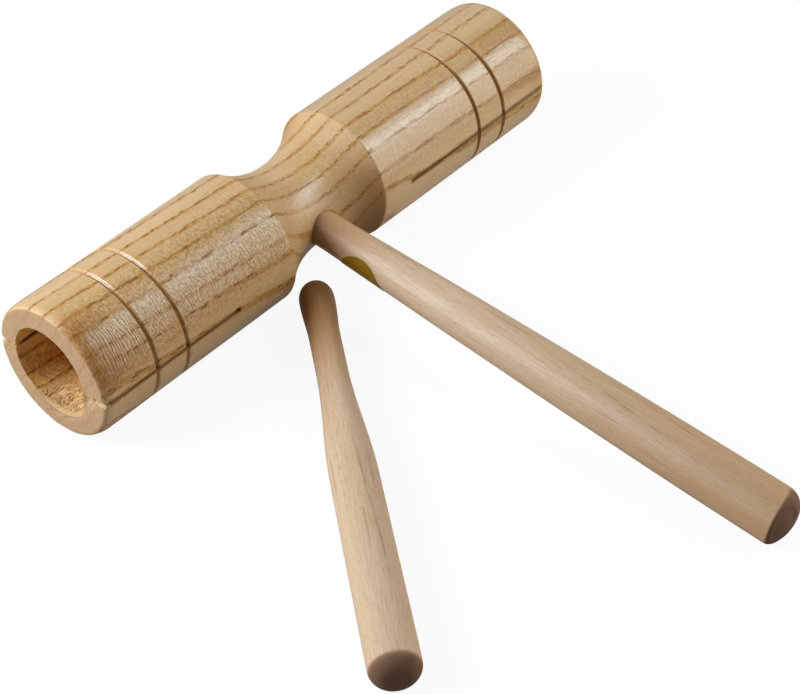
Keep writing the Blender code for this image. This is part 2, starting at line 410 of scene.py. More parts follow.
def outer_rings():
    """The block's turned outside, from the near end's edge to the far end's, and the places of its rings.

    At each end the radius drops by the square of the share of the worn length that is passed, and by a high
    power of it where the corner is broken; the near end is worn more on one side.
    """
    share = np.linspace(0, 1, ROUND_ROWS, endpoint=False) ** 2
    worn_x = HALF_LENGTH - END_WEAR * share
    x = np.concatenate([-worn_x, block_stations(), worn_x[::-1]])
    rise = np.interp(x, KERF_ENDS, (NEAR.kerf_rise, FAR.kerf_rise))
    points = ring_points(x, block_radius(x), rise, 0, seed=1)
    passed = np.clip((np.abs(x) - HALF_LENGTH + END_WEAR) / END_WEAR, 0, 1)[:, None]
    angle = np.arctan2(points[..., 2], -points[..., 1])
    lean = END_LEAN * np.cos(angle - END_LEAN_ANGLE) * (x[:, None] < 0)
    drop = passed ** 2 * (END_DROP + lean) + passed ** END_BREAK_POWER * END_BREAK
    points[..., 1:] *= (1 - drop / RADIUS)[..., None]
    return points, x


def bore_rings(chamber, x):
    """Rings of a bore from its softened mouth, a quarter circle, in to its flat bottom.

    x are the places of the outside's rings from the end of the block to the end of the kerf.
    """
    turn = np.linspace(0, np.pi / 2, ROUND_ROWS, endpoint=False)
    mouth_x = HALF_LENGTH - MOUTH_ROUND * (1 - np.cos(turn))
    mouth_radius = BORE_RADIUS + MOUTH_ROUND * (1 - np.sin(turn))
    bottom = HALF_LENGTH - chamber.bore_depth
    inner_x = np.abs(x[ROUND_ROWS:])
    last_x = np.linspace(inner_x[-1], bottom, LAST_ROWS)[1:]
    disc = BORE_RADIUS * np.array(BORE_BOTTOM)
    all_x = np.concatenate([mouth_x, inner_x, last_x, np.full(len(disc), bottom)])
    radius = np.concatenate([mouth_radius, np.full(len(inner_x) + len(last_x), BORE_RADIUS), disc])
    rise = np.full(len(all_x), chamber.kerf_rise)
    return ring_points(chamber.side * all_x, np.maximum(radius, POLE_RADIUS), rise, chamber.bore_offset,
                       seed=2 - chamber.side)


def block_patches():
    """The block's surface as patches that share their edges: outside, ends, bores, and walls of the kerfs.

    An end face or a wall is a straight blend from an edge of the outside to the same edge of the bore.
    """
    outer, x = outer_rings()
    gaps = ((ARC_COLUMNS, GAP_COLUMNS), (2 * ARC_COLUMNS + GAP_COLUMNS, GAP_COLUMNS))
    columns = outer.shape[1]
    in_gap = np.zeros(columns, bool)
    for start, count in gaps:
        in_gap[start:start + count] = True
    middles = (x[1:] + x[:-1]) / 2
    sawn = (middles < KERF_ENDS[0]) | (middles > KERF_ENDS[1])
    patches = [(outer, grid_quads(len(x), columns, True, ~(sawn[:, None] & in_gap)))]
    share = np.linspace(0, 1, WALL_STEPS + 1)[:, None, None]
    for chamber in (NEAR, FAR):
        order = np.arange(len(x))[::-chamber.side]
        cut = np.abs(x[order]) >= HALF_LENGTH - chamber.kerf_length - WELD
        cut &= x[order] * chamber.side > 0
        rows = order[cut]
        bore = bore_rings(chamber, x[rows])
        bore_sawn = np.arange(len(bore) - 1) < len(rows) - 1
        patches.append((bore, grid_quads(len(bore), columns, True, ~(bore_sawn[:, None] & in_gap))))
        end_face = outer[rows[0]] * (1 - share) + bore[0] * share
        end_face = end_face.reshape(WALL_STEPS + 1, columns, 3)
        keep = np.broadcast_to(~in_gap, (WALL_STEPS, columns))
        patches.append((end_face, grid_quads(WALL_STEPS + 1, columns, True, keep)))
        for start, count in gaps:
            for edge in (start, (start + count) % columns):
                wall = outer[rows, edge] * (1 - share) + bore[:len(rows), edge] * share
                patches.append((wall, grid_quads(WALL_STEPS + 1, len(rows))))
            across = np.arange(start, start + count + 1) % columns
            stop = outer[rows[-1], across] * (1 - share) + bore[len(rows) - 1, across] * share
            patches.append((stop, grid_quads(WALL_STEPS + 1, count + 1)))
    return patches


def cut_mortise(mesh):
    """The block's mesh with a round hole along the handle's axis, a little wider than the handle's root."""
    origin, axes = handle_frame()
    along = np.array([MORTISE_FOOT, MORTISE_FOOT, RADIUS, RADIUS])[:, None]
    radius = np.array([POLE_RADIUS, MORTISE_RADIUS, MORTISE_RADIUS, POLE_RADIUS])[:, None]
    points = turned_points(along, radius, origin - BLOCK_MIDDLE, axes)
    quads = grid_quads(len(along), STICK_COLUMNS, True)
    drill = bpy.data.objects.new("drill", sewn_mesh("drill", [(points, quads)]))
    block = bpy.data.objects.new("block", mesh)
    for item in (drill, block):
        bpy.context.scene.collection.objects.link(item)
    boolean = block.modifiers.new("mortise", "BOOLEAN")
    boolean.object = drill
    boolean.operation = "DIFFERENCE"
    boolean.solver = "EXACT"
    bpy.context.view_layer.update()
    cut = bpy.data.meshes.new_from_object(block.evaluated_get(bpy.context.evaluated_depsgraph_get()))
    for item in (drill, block):
        bpy.data.objects.remove(item)
    return cut


def about_near_bore(points):
    """Angle in degrees round the near bore's axis, distance from that axis, and depth from the end face."""
    x, y, z = points.T
    return (np.degrees(np.arctan2(z, NEAR.bore_offset - y)), np.hypot(y - NEAR.bore_offset, z),
            x + HALF_LENGTH)


def arc_share(angle, limits):
    """1 between the middle two of four angles, eased to 0 at the outer two."""
    start, full, fading, end = limits
    return smooth_step(start, full, angle) * (1 - smooth_step(fading, end, angle))


def torn_share(points):
    """How torn the near bore's floor is: full just inside the mouth, under the kerf, and fading away."""
    angle, reach, depth = about_near_bore(points)
    near = reach < BORE_RADIUS + TORN_MARGIN
    return near * arc_share(angle, TORN_ANGLES) * (1 - smooth_step(*TORN_DEPTHS, depth))


def mouth_break(points):
    """How far the near mouth's lower edge is broken back: a slope that falls with distance from the edge.

    Its limit is ragged, where the drill tore out.
    """
    angle, reach, depth = about_near_bore(points)
    limit = MOUTH_BREAK_REACH * (1 + BREAK_RAGGED * lattice_noise(points, BREAK_CELL, 13))
    away = np.hypot(reach - BORE_RADIUS, depth)
    return arc_share(angle, BREAK_ANGLES) * np.clip(1 - away / limit, 0, 1)


def chip_share(points):
    """How much wood the saw broke out beside the kerf at the near end: most at three spots on the end face.

    It falls with the distance from the nearest spot, counted in the spot's half sizes, and is ragged.
    """
    x, y, z = points.T
    spots = [np.hypot((y - middle) / width, (z - rise) / height)
             for middle, rise, width, height in CHIP_SPOTS]
    away = np.hypot(np.minimum.reduce(spots), (x + HALF_LENGTH) / CHIP_REACH)
    ragged = ragged_noise(points, *CHIP_CELLS, 9)
    return np.clip(1 - away + CHIP_RAGGED * ragged, 0, 1)


def sawn_share(points):
    """1 on the walls of the kerfs, short of the end faces, and 0 elsewhere."""
    x, y, z = points.T
    height = z * math.cos(KERF_TILT) - y * math.sin(KERF_TILT)
    sawn = np.zeros(len(points), bool)
    for chamber in (NEAR, FAR):
        inside = HALF_LENGTH - x * chamber.side
        beside = np.abs(height - chamber.kerf_rise) < KERF_WIDTH / 2 + SAWN_MARGIN
        sawn |= beside & (inside > SAWN_START) & (inside < chamber.kerf_length + SAWN_PAST)
    return sawn.astype(float)


def weathered_block(points, normals):
    """The block's points after the lathe, drill and saw: every change takes wood off the ideal surface.

    Turned faces wave by hundredths of a millimetre, bores are rougher, the near mouth has torn fibres, and
    its edges are chipped beside the kerf.
    """
    x, y, z = points.T
    stations = block_stations()
    turned = smooth_step(*TURNED_SKIN, np.hypot(y, z) - np.interp(x, stations, block_radius(stations)))
    wave = (1 + lattice_noise(points, LATHE_CELL, 5)) / 2
    rough = (1 + lattice_noise(points, DRILL_CELL, 6)) / 2
    tear = ragged_noise(points, *TEAR_CELLS, 7)
    depth = turned * LATHE_WAVE * wave + (1 - turned) * DRILL_ROUGHNESS * rough
    depth += torn_share(points) * (TEAR_DEPTH + TEAR_RAGGED * tear)
    chip = chip_share(points)
    away = np.stack([CHIP_DEPTH * chip, np.zeros_like(chip), -CHIP_DROP * chip * (y < 0)], -1)
    reach = np.maximum(np.hypot(y - NEAR.bore_offset, z), 1)
    torn_off = MOUTH_BREAK_DEPTH * mouth_break(points)
    slope = np.stack([torn_off, torn_off * (y - NEAR.bore_offset) / reach, torn_off * z / reach], -1)
    return points - normals * depth[:, None] + away + slope


def make_block(material):
    """The block, with masks for its material.

    They mark the grooves, the waist's slopes, end grain, bare wood, the broken lip, and torn and sawn wood.
    """
    mesh = cut_mortise(sewn_mesh("ash_block", block_patches()))
    mesh.name = "ash_block"
    points, normals = read_mesh(mesh)
    outward = np.hypot(points[:, 1], points[:, 2])
    inside = np.abs(points[:, 0])
    grooved = sum(1 - smooth_step(*GROOVE_STAIN, np.abs(points[:, 0] - groove)) for groove in GROOVES)
    grooved *= smooth_step(*GROOVE_EDGE, RADIUS - outward) * (outward > RADIUS - GROOVE_FLOOR)
    slope = smooth_step(*SLOPE_FACING, np.abs(normals[:, 0])) * (inside < FAR_SHOULDER + SLOPE_PAST_SHOULDER)
    end_face = inside > HALF_LENGTH - FACE_DEPTH
    in_chamber = (inside > FAR_SHOULDER + BARE_PAST_SHOULDER) & (outward < RADIUS - BARE_UNDER_CHAMBER)
    bare = (outward < WAIST_RADIUS - BARE_UNDER_WAIST) | in_chamber
    write_mask(mesh, "groove", grooved)
    write_mask(mesh, "slope", slope)
    write_mask(mesh, "end_grain", end_face.astype(float))
    write_mask(mesh, "raw", (bare & ~end_face).astype(float))
    write_mask(mesh, "lip", smooth_step(*LIP_BREAK, mouth_break(points)))
    write_mask(mesh, "torn", np.maximum(torn_share(points), CHIP_TORN * chip_share(points)))
    write_mask(mesh, "sawn", sawn_share(points))
    placed = weathered_block(points, normals) + BLOCK_MIDDLE
    return finish_piece(mesh, placed, material, "instrument", "tone_block")


def make_torn_fibres(material):
    """Short bristles on the torn floor of the near bore: spindles at random headings, lifted off the wood.

    A point stands along the bore, round it and in from its wall; the girth is a sine wave along the bristle.
    """
    rng = np.random.default_rng(11)
    count = (FIBRE_COUNT, 1, 1)
    start = rng.uniform(*FIBRE_DEPTHS, count) - HALF_LENGTH
    angle = np.radians(rng.uniform(*FIBRE_ANGLES, count))
    length = rng.uniform(*FIBRE_LENGTHS, count)
    thickness = rng.uniform(*FIBRE_GIRTHS, count)
    lift = rng.uniform(*FIBRE_LIFTS, count)
    heading = rng.normal(0, FIBRE_SWING, count)
    along = np.linspace(0, 1, FIBRE_ROWS)[None, :, None]
    turn = np.linspace(0, 2 * np.pi, FIBRE_SIDES, endpoint=False)[None, None, :]
    girth = thickness * np.sin(np.pi * np.clip(0.25 + 0.75 * along, 0.001, 0.999)) ** 0.6
    reach = BORE_RADIUS + FIBRE_ROOT - lift * along ** 1.5 - girth * np.cos(turn)
    bend = angle + (length * along * np.sin(heading) + girth * np.sin(turn)) / BORE_RADIUS
    x = np.maximum(start + length * along * np.cos(heading), FIBRE_CLEAR - HALF_LENGTH) + 0 * turn
    points = np.stack([x, NEAR.bore_offset - reach * np.cos(bend), reach * np.sin(bend)], -1)
    quads = grid_quads(FIBRE_ROWS, FIBRE_SIDES, True)
    mesh = sewn_mesh("torn_fibres", [(fibre, quads) for fibre in points + BLOCK_MIDDLE])
    write_mask(mesh, "torn", np.ones(len(mesh.vertices)))
    return finish_piece(mesh, read_mesh(mesh)[0], material, "instrument")


# Handle and beater

def handle_radius(along):
    """The handle's radius: straight at its root, then a quarter sine wave up to the butt's."""
    share = np.clip((along - HANDLE_SWELL) / (HANDLE_END - HANDLE_BUTT_ROUND - HANDLE_SWELL), 0, 1)
    return HANDLE_ROOT_RADIUS + (HANDLE_BUTT_RADIUS - HANDLE_ROOT_RADIUS) * np.sin(share * np.pi / 2)


def rounded_butt(full, rounding, edge, end):
    """Rows of a butt: a quarter circle of the rounding up to the edge, then a shallow dome up to the end.

    The rounding and the edge may change round the stick.
    """
    turn = np.linspace(0, np.pi / 2, BUTT_ROWS)[:, None]
    along = edge - rounding + rounding * np.sin(turn)
    radius = full - rounding + rounding * np.cos(turn)
    share = np.linspace(1, 0, DOME_ROWS)[1:, None]
    dome = edge + (end - edge) * (1 - share ** 2)
    return np.concatenate([along, dome + 0 * rounding]), np.concatenate([radius, share * (full - rounding)])


def make_handle(material):
    """The handle: root, swell, and a butt whose edge is crisp on one side and worn round on the other."""
    origin, axes = handle_frame()
    angle = np.linspace(0, 2 * np.pi, STICK_COLUMNS, endpoint=False)[None, :]
    crisp = np.clip(np.cos(angle - HANDLE_CRISP_ANGLE), 0, 1) ** 0.5
    rounding = HANDLE_BUTT_ROUND + (HANDLE_CRISP_ROUND - HANDLE_BUTT_ROUND) * crisp
    edge = HANDLE_END - HANDLE_DOME * crisp
    share = np.linspace(0, 1, HANDLE_ROWS)[:-1, None]
    shaft = HANDLE_FOOT + (edge - rounding - HANDLE_FOOT) * share
    butt_along, butt_radius = rounded_butt(HANDLE_BUTT_RADIUS, rounding, edge, HANDLE_END)
    foot = np.full((1, STICK_COLUMNS), HANDLE_FOOT)
    along = np.concatenate([foot, shaft, butt_along])
    radius = np.concatenate([0.0 * foot, handle_radius(shaft), butt_radius])
    return make_stick("birch_handle", along, radius, origin, axes, material, "instrument", "handle")


def ease_between(start, end, along, first, last):
    """A smooth S-shaped change from first to last between two places along a stick."""
    share = np.clip((along - start) / (end - start), 0, 1)
    return first + (last - first) * (1 - np.cos(np.pi * share)) / 2


def beater_radius(along):
    """The beater's radius: a domed head, a slim neck, and a grip that swells a little to the butt."""
    short = np.clip((HEAD_DOME - along) / (HEAD_DOME - HEAD_TIP), 0, 1)
    dome = HEAD_RADIUS * (1 - short ** HEAD_BLUNT) ** (1 / HEAD_BLUNT)
    slimming = ease_between(HEAD_END, NECK_START, along, HEAD_RADIUS, NECK_RADIUS)
    head = np.where(along < HEAD_DOME, dome, slimming)
    neck = ease_between(NECK_END, GRIP_START, along, NECK_RADIUS, GRIP_RADIUS)
    swell = (BEATER_BUTT_RADIUS - GRIP_RADIUS) / (BEATER_END - BEATER_BUTT_ROUND - GRIP_START)
    grip = GRIP_RADIUS + swell * (along - GRIP_START)
    return np.where(along < NECK_START, head, np.where(along < GRIP_START, neck, grip))


def make_beater(material):
    """The beater, from the pole of its domed head to the middle of its butt."""
    origin, axes = beater_frame()
    dome = HEAD_DOME - (HEAD_DOME - HEAD_TIP) * np.cos(np.linspace(0, np.pi / 2, HEAD_ROWS)[:-1])
    shaft = np.linspace(HEAD_DOME, BEATER_END - BEATER_BUTT_ROUND, BEATER_ROWS)[:-1]
    shaft = np.concatenate([dome, shaft])[:, None]
    butt_along, butt_radius = rounded_butt(BEATER_BUTT_RADIUS, BEATER_BUTT_ROUND, BEATER_END, BEATER_END)
    along = np.concatenate([shaft, butt_along])
    radius = np.concatenate([beater_radius(shaft), butt_radius])
    return make_stick("birch_beater", along, radius, origin, axes, material, "beater", "beater")


def make_stick(name, along, radius, origin, axes, material, body, node):
    """A turned stick from its rows (place, radius), sanded slightly out of true."""
    points = turned_points(along, radius, origin, axes)
    mesh = sewn_mesh(name, [(points, grid_quads(len(along), STICK_COLUMNS, True))])
    points, normals = read_mesh(mesh)
    local = (points - origin) @ axes.T
    sanded = SANDED_DEPTH * (1 + lattice_noise(local, SANDED_CELL, 21)) / 2
    facing = normals @ axes[0]
    write_mask(mesh, "end_grain", smooth_step(*BUTT_FACING, facing) + smooth_step(*HEAD_FACING, -facing))
    return finish_piece(mesh, points - normals * sanded[:, None], material, body, node)


def make_label(material):
    """A round blank label laid on the handle: a thin disc of rings, wrapped round the handle's axis.

    A point at a distance from the middle and a bearing lies that far along the axis and round the girth.
    """
    origin, axes = handle_frame()
    rings = np.linspace(0, 1, LABEL_RINGS)
    distance = np.concatenate([rings, rings[::-1]])[:, None] * LABEL_RADIUS
    height = np.repeat([LABEL_THICKNESS, 0], LABEL_RINGS)[:, None]
    bearing = np.linspace(0, 2 * np.pi, STICK_COLUMNS, endpoint=False)[None, :]
    along = LABEL_ALONG + distance * np.cos(bearing)
    girth = handle_radius(along)
    angle = LABEL_ANGLE + distance * np.sin(bearing) / girth
    reach = girth + height
    points = (origin + along[..., None] * axes[0] + (reach * np.sin(angle))[..., None] * axes[1]
              + (reach * np.cos(angle))[..., None] * axes[2])
    mesh = sewn_mesh("blank_label", [(points, grid_quads(len(points), STICK_COLUMNS, True))])
    return finish_piece(mesh, read_mesh(mesh)[0], material, "instrument")


# Shader nodes

def set_sockets(tree, made, sockets):
    """Give a node's inputs their values or links."""
    for key, value in sockets.items():
        if isinstance(value, bpy.types.NodeSocket):
            tree.links.new(value, made.inputs[key])
        else:
            made.inputs[key].default_value = value


def add(tree, kind, sockets=None, **settings):
    """A new node: settings are its own properties, and sockets its inputs, as values or as links."""
    made = tree.nodes.new("ShaderNode" + kind)
    for key, value in settings.items():
        setattr(made, key, value)
    set_sockets(tree, made, sockets or {})
    return made


def calc(tree, operation, *values):
    """The result of a math node."""
    return add(tree, "Math", dict(enumerate(values)), operation=operation).outputs[0]


def product(tree, first, *others):
    """The values multiplied together."""
    for other in others:
        first = calc(tree, "MULTIPLY", first, other)
    return first


def highest(tree, first, *others):
    """The highest of the values."""
    for other in others:
        first = calc(tree, "MAXIMUM", first, other)
    return first


def ramp(tree, value, start, end, low=0.0, high=1.0):
    """A smooth step of a value from low, at start, to high, at end."""
    sockets = {"Value": value, "From Min": start, "From Max": end, "To Min": low, "To Max": high}
    return add(tree, "MapRange", sockets, interpolation_type="SMOOTHSTEP").outputs[0]


def tint(tree, factor, first, second, blend="MIX"):
    """A mix of two colours; a colour is three numbers or a link."""
    def whole(color):
        return color if isinstance(color, bpy.types.NodeSocket) else (*color, 1)
    sockets = {0: factor, 6: whole(first), 7: whole(second)}
    return add(tree, "Mix", sockets, data_type="RGBA", blend_type=blend).outputs[2]


def stain(tree, factor, wood, color):
    """Wood multiplied by a colour, as far as the factor goes."""
    return tint(tree, factor, wood, color, "MULTIPLY")


def mask(tree, name):
    """One of the masks that a piece's mesh carries."""
    return add(tree, "Attribute", attribute_name=name).outputs["Fac"]


def split(tree, place):
    """The X, Y and Z of a place."""
    return add(tree, "SeparateXYZ", {0: place}).outputs


def new_group(name, inputs, outputs):
    """A shader node group with named float or vector inputs and float outputs."""
    tree = bpy.data.node_groups.new(name, "ShaderNodeTree")
    for key in inputs:
        kind = "NodeSocketVector" if key == "Vector" else "NodeSocketFloat"
        tree.interface.new_socket(key, in_out="INPUT", socket_type=kind)
    for key in outputs:
        tree.interface.new_socket(key, in_out="OUTPUT", socket_type="NodeSocketFloat")
    start = tree.nodes.new("NodeGroupInput")
    end = tree.nodes.new("NodeGroupOutput")
    return tree, start.outputs, end


def stretched(tree, start, along, across):
    """A group's coordinates in cells: along the grain by one of its inputs, and across it by another."""
    cell = add(tree, "CombineXYZ", {"X": start[along], "Y": start[across], "Z": start[across]})
    return add(tree, "VectorMath", {0: start["Vector"], 1: cell.outputs[0]}, operation="DIVIDE").outputs[0]


def seeded_noise(tree, start, place, detail, roughness):
    """Noise at a place, with the group's Seed as its fourth coordinate."""
    sockets = {"Vector": place, "W": start["Seed"], "Scale": 1.0, "Detail": detail, "Roughness": roughness}
    return add(tree, "TexNoise", sockets, noise_dimensions="4D").outputs["Fac"]


def streaks_group():
    """Soft streaks along the grain: noise stretched to a length and a width, from 0 to 1."""
    tree, start, end = new_group("grain_streaks", ("Vector", "Length", "Width", "Seed"), ("Streaks",))
    noise = seeded_noise(tree, start, stretched(tree, start, "Length", "Width"), 3.0, 0.6)
    tree.links.new(ramp(tree, noise, 0.28, 0.72), end.inputs[0])
    return tree


def vessels_group():
    """Open vessels cut along the grain: spindles at random places, a Share of which are there."""
    inputs = ("Vector", "Length", "Width", "Share", "Seed")
    tree, start, end = new_group("wood_vessels", inputs, ("Vessels",))
    place = stretched(tree, start, "Length", "Width")
    sockets = {"Vector": place, "W": start["Seed"], "Scale": 1.0}
    cells = add(tree, "TexVoronoi", sockets, voronoi_dimensions="4D").outputs
    chosen = add(tree, "SeparateColor", {0: cells["Color"]}).outputs[0]
    there = calc(tree, "LESS_THAN", chosen, start["Share"])
    spindle = ramp(tree, cells["Distance"], 0.58, 0.38)
    tree.links.new(product(tree, there, spindle), end.inputs[0])
    return tree


def marks_group():
    """Marks of the lathe tool: ripples a Width apart along the axis, each a Length long round the girth."""
    tree, start, end = new_group("lathe_marks", ("Vector", "Length", "Width", "Seed"), ("Height",))
    noise = seeded_noise(tree, start, stretched(tree, start, "Width", "Length"), 2.0, 0.5)
    tree.links.new(noise, end.inputs[0])
    return tree


STREAKS, VESSELS, MARKS = streaks_group(), vessels_group(), marks_group()


def use(tree, group, **values):
    """The first output of a group placed in a material, with its inputs named in small letters."""
    sockets = {key.capitalize(): value for key, value in values.items()}
    return add(tree, "Group", sockets, node_tree=group).outputs[0]


def grain_place(tree, origin, axes):
    """Object coordinates in millimetres, with the grain along X."""
    turn = Matrix(axes.tolist()).transposed().to_euler()
    place = add(tree, "TexCoord").outputs["Object"]
    sockets = {"Vector": place, "Location": Vector(origin) * MM, "Rotation": turn, "Scale": (MM, MM, MM)}
    return add(tree, "Mapping", sockets, vector_type="TEXTURE").outputs[0]


def new_material(name):
    """A material, its node tree and its shader."""
    material = bpy.data.materials.new(name)
    material.use_nodes = True
    tree = material.node_tree
    return material, tree, tree.nodes["Principled BSDF"]


def bump(tree, shader, height, strength):
    """Feed a height in millimetres to the shader's normal."""
    made = add(tree, "Bump", {"Height": height, "Strength": strength, "Distance": MM})
    tree.links.new(made.outputs[0], shader.inputs["Normal"])


# Ash: rings about a far-off pith, with rows of open vessels in the early wood
RING_WIDTH = 5.5
RING_START = 0.1
PITH_DISTANCE = 150
PITH_ANGLE = math.radians(147)
RING_DRIFT = 0.0538
RING_DRIFT_END = 3
RING_WANDER = 0.7
RING_RAGGED = 0.5
WIDE_RING = (1.5, 4.5, 7.5, 10.5)
WIDE_RING_EXTRA = 1.3
ASH_LATE = (0.69, 0.457, 0.232)
ASH_EARLY = (0.60, 0.355, 0.125)
ASH_CLOUD = (0.90, 0.86, 0.80)
ASH_FIBRE = (0.86, 0.82, 0.74)
ASH_ROW = (0.42, 0.165, 0.0)
ASH_PORE = (0.22, 0.066, 0.0)
ASH_FLECK = (0.66, 0.58, 0.46)
# Painted shade for the front side of the near chamber and of the far tip
ASH_FRONT_SHADE = (0.90, 0.86, 0.77)
# Partly worn wood and partly painted shade at the near tip's front side
ASH_TIP_WEAR_AND_SHADE = (0.76, 0.60, 0.38)
# Painted shade low on the waist's slopes
ASH_SLOPE_SHADE = (0.66, 0.56, 0.43)
ASH_END = (0.386, 0.234, 0.129)
ASH_SPOT = (0.87, 0.84, 0.81)
# Partly burnished wood and partly painted shade in the grooves
ASH_GROOVE_BURN_AND_SHADE = (0.36, 0.165, 0.03)
# Painted light on the far chamber's low side
ASH_LOW_LIGHT = (1.18, 1.26, 1.42)
ASH_SAWN = (0.25, 0.11, 0.02)
ASH_RAW = (1.26, 1.10, 0.70)
ASH_TORN = (0.72, 0.47, 0.21)
ASH_LIP = (0.70, 0.66, 0.60)
ASH_GLOSS = 0.6
FLECK_FACE = math.radians(45)
LATHE_RIPPLE = 1.05
RIPPLE_HEIGHT = 0.02
RAY_HEIGHT = 0.17
TIP_RAY_HEIGHT = 0.06
PORE_DEPTH = 0.04
FIBRE_HEIGHT = 0.02

# Places along the block over which its finish changes
NEAR_TIP = (-76.0, -84.0)
NEAR_TO_FAR = (-10.0, 10.0)
WAIST_TO_FAR = (17.0, 24.0)

AshGrain = namedtuple("AshGrain", "early row pores fibres rays rayed side_grain finish")
AshShadeAndWear = namedtuple("AshShadeAndWear", "front tip cut")


def ring_depth(tree, place):
    """Depth through the rings in millimetres: distance from the pith, less the grain's drift.

    The rings swell over the waist, part towards the far end, sink under its kerf, and one of them is wide.
    """
    x, y, z = split(tree, place)
    pith_y = -PITH_DISTANCE * math.cos(PITH_ANGLE)
    pith_z = PITH_DISTANCE * math.sin(PITH_ANGLE)
    across = calc(tree, "POWER", calc(tree, "SUBTRACT", y, pith_y), 2.0)
    down = calc(tree, "POWER", calc(tree, "SUBTRACT", z, pith_z), 2.0)
    away = calc(tree, "SUBTRACT", calc(tree, "SQRT", calc(tree, "ADD", across, down)), PITH_DISTANCE)
    along = calc(tree, "ADD", calc(tree, "SMOOTH_MIN", x, RING_DRIFT_END, 8.0), HALF_LENGTH)
    depth = calc(tree, "MULTIPLY_ADD", along, -RING_DRIFT, away)
    swell = product(tree, ramp(tree, x, -22.0, -4.0), ramp(tree, x, 22.0, 4.0, 0.0, 0.8))
    parting = product(tree, ramp(tree, x, 20.0, 105.0), ramp(tree, away, -12.0, -4.0, -1.1, 1.8))
    sinking = product(tree, ramp(tree, x, 20.0, 45.0), ramp(tree, away, 14.0, 17.4, 0.0, 1.8))
    for shift in (swell, parting, sinking):
        depth = calc(tree, "SUBTRACT", depth, shift)
    wander = use(tree, STREAKS, vector=place, length=40.0, width=10.0, seed=1.0)
    ragged = use(tree, STREAKS, vector=place, length=3.0, width=1.2, seed=2.0)
    for noise, reach in ((wander, RING_WANDER), (ragged, RING_RAGGED)):
        depth = calc(tree, "MULTIPLY_ADD", calc(tree, "SUBTRACT", noise, 0.5), reach, depth)
    rise, top, edge, foot = WIDE_RING
    wide = product(tree, ramp(tree, depth, rise, top), ramp(tree, depth, foot, edge))
    return calc(tree, "MULTIPLY_ADD", wide, -WIDE_RING_EXTRA, depth)


def ash_grain(tree, place):
    """Masks of the grain: each ring starts with early wood and a row of vessels, by the share of it passed.

    The finish leaves the grain open on the near chamber, and closes it over the waist and the far chamber.
    Rays show as flecks on two opposite sides of the block, and little between them.
    """
    x = split(tree, place)[0]
    rings = calc(tree, "MULTIPLY_ADD", ring_depth(tree, place), 1 / RING_WIDTH, RING_START)
    passed = calc(tree, "FRACT", rings)
    early = product(tree, ramp(tree, passed, 0.0, 0.08), ramp(tree, passed, 0.36, 0.12))
    row = product(tree, ramp(tree, passed, 0.0, 0.06), ramp(tree, passed, 0.27, 0.17))
    finish = calc(tree, "ADD", ramp(tree, x, -24.0, -17.0, 1.0, 0.4), ramp(tree, x, *WAIST_TO_FAR, 0.0, 0.1))
    fade = use(tree, STREAKS, vector=place, length=16.0, width=3.0, seed=9.0)
    row = product(tree, row, ramp(tree, fade, 0.0, 0.7, 0.5, 1.0), ramp(tree, finish, 0.3, 1.0, 0.8, 1.0))
    long = use(tree, VESSELS, vector=place, length=3.4, width=0.8, share=0.85, seed=3.0)
    short = use(tree, VESSELS, vector=place, length=1.7, width=0.55, share=0.5, seed=13.0)
    specks = use(tree, VESSELS, vector=place, length=2.0, width=0.35, share=0.3, seed=4.0)
    side_grain = calc(tree, "MULTIPLY_ADD", mask(tree, "end_grain"), -0.85, 1.0)
    pores = highest(tree, product(tree, highest(tree, long, short), row), product(tree, specks, 0.22))
    fibres = use(tree, STREAKS, vector=place, length=14.0, width=0.45, seed=5.0)
    rays = use(tree, MARKS, vector=place, length=1.1, width=0.75, seed=8.0)
    level = (0, math.sin(FLECK_FACE), math.cos(FLECK_FACE))
    outward = add(tree, "VectorMath", {0: place, 1: (0, 1, 1)}, operation="MULTIPLY").outputs[0]
    outward = add(tree, "VectorMath", {0: outward}, operation="NORMALIZE").outputs[0]
    lean = add(tree, "VectorMath", {0: outward, 1: level}, operation="DOT_PRODUCT").outputs["Value"]
    rayed = ramp(tree, calc(tree, "ABSOLUTE", lean), 0.75, 0.35, 0.15, 1.0)
    rayed = product(tree, rayed, calc(tree, "POWER", finish, 1.3))
    return AshGrain(early, row, product(tree, pores, side_grain), fibres, rays, rayed, side_grain, finish)


def ash_shade_and_wear(tree, place, side_grain):
    """Masks of the front side, which takes painted shade, of its near tip, partly worn and partly in painted
    shade, and of the grooves, whose stain is partly burnished wood and partly painted shade and is wider on
    the far chamber.
    """
    x, y, z = split(tree, place)
    front = product(tree, ramp(tree, y, -2.0, -10.0), ramp(tree, z, 3.0, 7.0), side_grain)
    tip = product(tree, ramp(tree, x, 16.0 - HALF_LENGTH, 4.0 - HALF_LENGTH), front)
    cut = calc(tree, "POWER", mask(tree, "groove"), ramp(tree, x, *NEAR_TO_FAR, 1.0, 0.35))
    return AshShadeAndWear(front, tip, cut)


